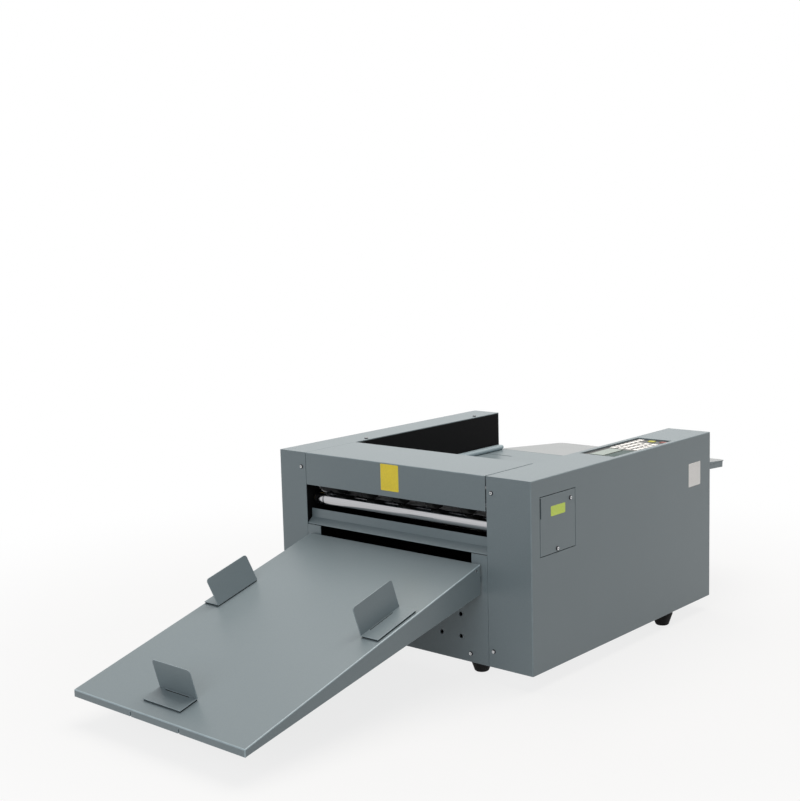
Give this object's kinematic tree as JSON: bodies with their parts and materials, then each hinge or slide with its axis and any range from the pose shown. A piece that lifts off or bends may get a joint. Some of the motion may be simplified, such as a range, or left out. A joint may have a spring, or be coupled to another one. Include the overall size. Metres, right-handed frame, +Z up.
{
  "type": "creasing and perforating machine",
  "caption": "Desktop sheet creasing and perforating machine with side housings, sunk control panel, rubber exit wheels and a sloping delivery tray with movable stops.",
  "frame": {"origin": "under the middle of the whole object, on the surface that the feet stand on", "axes": "+X to the machine's right seen from the delivery end, +Y from the delivery tray to the feed table, +Z up"},
  "size_m": [0.5036, 1.191, 0.3068],
  "materials": {
    "grey_paint": "fine textured powder coat",
    "pale_paint": "fine textured powder coat",
    "black_paint": "satin black",
    "steel": "ground steel",
    "zinc": "bright zinc",
    "chrome": "polished",
    "brass": "machined",
    "black_rubber": "matte",
    "pad_rubber": "matte",
    "motor_metal": "cast and painted",
    "panel_plastic": "satin film",
    "display": "gloss window",
    "key_white": "satin",
    "key_yellow": "satin",
    "key_red": "satin",
    "board": "solder mask",
    "black_plastic": "moulded"
  },
  "bodies": {
    "machine": {"base_plate": "steel", "left_side_frame": "black_paint", "right_side_frame": "black_paint", "left_housing": "grey_paint", "right_housing": "grey_paint", "inner_panels": "black_paint", "lower_front_panel": "grey_paint", "rear_panel": "grey_paint", "feed_deck": "pale_paint", "feed_table": "pale_paint", "feed_gate": "black_paint", "separator_pad": "pad_rubber", "feed_motor": "motor_metal", "exit_chute": "grey_paint", "crease_die": "steel", "return_springs": "zinc", "crease_motor": "motor_metal", "drive_belt": "black_rubber", "drive_motor": "motor_metal", "shaft_bushes": "brass", "door_hinge_pin": "zinc", "cover_screws": "zinc", "tray_brackets": "zinc", "control_panel": "panel_plastic", "display_window": "display", "keypad": "key_white", "circuit_board": "board", "power_supply": "steel", "power_inlet": "black_plastic", "rubber_feet": "black_rubber"},
    "left_feed_guide": {"left_side_guide": "pale_paint"},
    "right_feed_guide": {"right_side_guide": "pale_paint"},
    "feed_roll": {"feed_shaft": "chrome", "feed_wheels": "black_rubber"},
    "crease_head": {"crease_knife_bar": "steel", "crease_blade": "steel"},
    "cam_roll": {"cam_shaft": "chrome", "cams": "brass"},
    "exit_upper": {"exit_shaft": "chrome", "exit_wheels": "black_rubber", "exit_gear": "brass", "perforating_wheel": "steel"},
    "exit_lower": {"exit_roller": "chrome", "exit_roller_gear": "brass", "exit_roller_pulley": "zinc"},
    "transport_lower": {"transport_roller": "chrome", "transport_pulley": "zinc"},
    "transport_upper": {"pinch_roller": "black_rubber"},
    "motor_shaft": {"drive_motor_pulley": "zinc"},
    "cover": {"front_cover": "grey_paint", "cover_hinge_pins": "zinc"},
    "door": {"access_door": "grey_paint", "door_screws": "zinc"},
    "tray": {"delivery_tray": "grey_paint"},
    "tray_end_stop": {"end_stop": "grey_paint"},
    "tray_left_guide": {"left_guide": "grey_paint"},
    "tray_right_guide": {"right_guide": "grey_paint"},
    "start_key": {"start_button": "key_yellow"},
    "stop_key": {"stop_button": "key_red"},
    "mains_switch": {"power_switch": "key_red"}
  },
  "joints": [
    {"name": "left_feed_guide_slide", "type": "slide", "parent": "machine", "child": "left_feed_guide", "axis": [1, 0, 0], "range_m": [0, 0.06]},
    {"name": "right_feed_guide_slide", "type": "slide", "parent": "machine", "child": "right_feed_guide", "axis": [-1, 0, 0], "range_m": [0, 0.06]},
    {"name": "feed_spin", "type": "hinge", "parent": "machine", "child": "feed_roll", "pos_m": [-0.01, 0.02229, 0.2534], "axis": [1, 0, 0], "continuous": true},
    {"name": "cam_turn", "type": "hinge", "parent": "machine", "child": "cam_roll", "pos_m": [-0.01, -0.06671, 0.2812], "axis": [1, 0, 0], "range_deg": [0, 150]},
    {"name": "crease_press", "type": "slide", "parent": "machine", "child": "crease_head", "axis": [0, 0, -1], "range_m": [0, 0.0034], "stiffness_N_per_m": 1500, "springref_m": -0.008, "deforming": ["return_springs"]},
    {"name": "exit_lower_spin", "type": "hinge", "parent": "machine", "child": "exit_lower", "pos_m": [-0.01, -0.10271, 0.2268], "axis": [1, 0, 0], "continuous": true},
    {"name": "exit_upper_spin", "type": "hinge", "parent": "machine", "child": "exit_upper", "pos_m": [-0.01, -0.10271, 0.2592], "axis": [1, 0, 0], "continuous": true},
    {"name": "transport_spin", "type": "hinge", "parent": "machine", "child": "transport_lower", "pos_m": [-0.01, -0.03471, 0.2268], "axis": [1, 0, 0], "continuous": true},
    {"name": "pinch_spin", "type": "hinge", "parent": "machine", "child": "transport_upper", "pos_m": [-0.01, -0.03471, 0.2492], "axis": [1, 0, 0], "continuous": true},
    {"name": "motor_spin", "type": "hinge", "parent": "machine", "child": "motor_shaft", "pos_m": [-0.01, -0.07071, 0.1518], "axis": [1, 0, 0], "continuous": true},
    {"name": "cover_hinge", "type": "hinge", "parent": "machine", "child": "cover", "pos_m": [-0.01, -0.01671, 0.299], "axis": [-1, 0, 0], "range_deg": [0, 80]},
    {"name": "door_hinge", "type": "hinge", "parent": "machine", "child": "door", "pos_m": [0.247, -0.02821, 0.2355], "axis": [0, 0, 1], "range_deg": [0, 100]},
    {"name": "tray_lift", "type": "hinge", "parent": "machine", "child": "tray", "pos_m": [-0.01, -0.14171, 0.16716], "axis": [-1, 0, 0], "range_deg": [0, 70]},
    {"name": "end_stop_slide", "type": "slide", "parent": "tray", "child": "tray_end_stop", "axis": [0, 0.9641, 0.2656], "range_m": [-0.015, 0.15]},
    {"name": "left_guide_slide", "type": "slide", "parent": "tray", "child": "tray_left_guide", "axis": [1, 0, 0], "range_m": [0, 0.08]},
    {"name": "right_guide_slide", "type": "slide", "parent": "tray", "child": "tray_right_guide", "axis": [-1, 0, 0], "range_m": [-0.003, 0.08]},
    {"name": "start_press", "type": "slide", "parent": "machine", "child": "start_key", "axis": [0, 0, -1], "range_m": [0, 0.001], "stiffness_N_per_m": 400, "springref_m": -0.0008},
    {"name": "stop_press", "type": "slide", "parent": "machine", "child": "stop_key", "axis": [0, 0, -1], "range_m": [0, 0.001], "stiffness_N_per_m": 400, "springref_m": -0.0008},
    {"name": "switch_rock", "type": "hinge", "parent": "machine", "child": "mains_switch", "pos_m": [0.211, 0.38329, 0.132], "axis": [-1, 0, 0], "range_deg": [0, 20]}
  ],
  "couplings": [
    {"joint": "cam_turn", "follows": "crease_press", "rad_per_m": 769.99},
    {"joint": "exit_upper_spin", "follows": "exit_lower_spin", "ratio": -0.6},
    {"joint": "transport_spin", "follows": "exit_lower_spin", "ratio": 1},
    {"joint": "pinch_spin", "follows": "exit_lower_spin", "ratio": -1.2},
    {"joint": "motor_spin", "follows": "exit_lower_spin", "ratio": 1}
  ]
}
